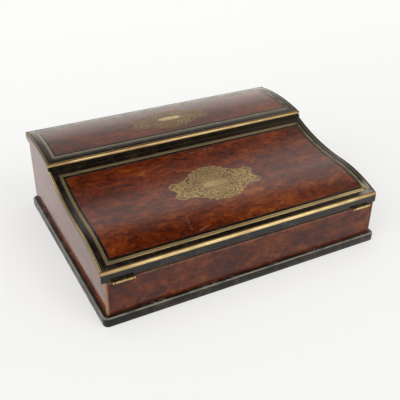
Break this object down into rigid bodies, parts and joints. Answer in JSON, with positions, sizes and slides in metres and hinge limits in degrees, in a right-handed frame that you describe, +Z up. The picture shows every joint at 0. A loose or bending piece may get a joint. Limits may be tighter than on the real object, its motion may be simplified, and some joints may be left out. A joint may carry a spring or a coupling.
{
  "type": "stationery box",
  "caption": "Writing and stationery box with a shaped slope flap hinged at the front, a domed back lid, inlaid borders and a fitted pen and ink compartment.",
  "frame": {"origin": "on the surface the box stands on, at the middle of the plinth", "axes": "+X to the box's right, +Y to the back where the lid is hinged, +Z up"},
  "size_m": [0.35, 0.272, 0.1106],
  "materials": {
    "burr_veneer": "french polished burr veneer",
    "ebonised_wood": "satin black",
    "interior_wood": "waxed rosewood",
    "brass": "polished, lightly aged",
    "brass_inlay": "flush brass inlay",
    "leather": "smooth",
    "lining": "matt",
    "baize": "felted",
    "glass": "clear"
  },
  "bodies": {
    "box": {"back_hinge_box_leaf_left": "brass", "back_hinge_box_leaf_right": "brass", "back_hinge_pins": "brass", "back_panel": "burr_veneer", "base_baize": "baize", "bottom_board": "interior_wood", "box_hinge_screws": "brass", "corner_strips": "brass", "divider_left": "interior_wood", "divider_right": "interior_wood", "front_hinge_box_leaf_left": "brass", "front_hinge_box_leaf_right": "brass", "front_hinge_pins": "brass", "front_panel": "burr_veneer", "ink_bottle_left": "glass", "ink_bottle_right": "glass", "ink_cap_pins": "brass", "ink_collar_left": "brass", "ink_collar_right": "brass", "ink_stand_left": "interior_wood", "ink_stand_right": "interior_wood", "left_side": "burr_veneer", "paper_lining": "lining", "partition": "interior_wood", "pen_tray": "interior_wood", "plinth_back": "ebonised_wood", "plinth_front": "ebonised_wood", "plinth_left": "ebonised_wood", "plinth_right": "ebonised_wood", "right_side": "burr_veneer"},
    "flap": {"flap_board": "burr_veneer", "flap_border": "ebonised_wood", "flap_cartouche": "brass_inlay", "flap_front_lipping": "ebonised_wood", "flap_hinge_leaf_left": "brass", "flap_hinge_leaf_right": "brass", "flap_hinge_screws": "brass", "flap_inner_line": "ebonised_wood", "flap_leather": "leather", "flap_nosing": "brass", "flap_side_edgings": "brass", "flap_stringing": "brass", "flap_veneer": "burr_veneer"},
    "ink_cap_left": {"ink_cap_left": "brass"},
    "ink_cap_right": {"ink_cap_right": "brass"},
    "lid": {"lid_back_lipping": "ebonised_wood", "lid_board": "burr_veneer", "lid_border": "ebonised_wood", "lid_cartouche": "brass_inlay", "lid_front_lipping": "ebonised_wood", "lid_hinge_leaf_left": "brass", "lid_hinge_leaf_right": "brass", "lid_hinge_screws": "brass", "lid_inner_line": "ebonised_wood", "lid_leather": "leather", "lid_nosing": "brass", "lid_side_edgings": "brass", "lid_stringing": "brass", "lid_veneer": "burr_veneer"}
  },
  "joints": [
    {"name": "flap_hinge", "type": "hinge", "parent": "box", "child": "flap", "pos_m": [0, -0.1327, 0.05126], "axis": [1, 0, 0], "range_deg": [0, 180]},
    {"name": "lid_hinge", "type": "hinge", "parent": "box", "child": "lid", "pos_m": [0, 0.1327, 0.0966], "axis": [-1, 0, 0], "range_deg": [0, 100]},
    {"name": "ink_cap_left_hinge", "type": "hinge", "parent": "box", "child": "ink_cap_left", "pos_m": [-0.138, 0.0804, 0.0536], "axis": [-1, 0, 0], "range_deg": [0, 110]},
    {"name": "ink_cap_right_hinge", "type": "hinge", "parent": "box", "child": "ink_cap_right", "pos_m": [0.138, 0.0804, 0.0536], "axis": [-1, 0, 0], "range_deg": [0, 110]}
  ]
}
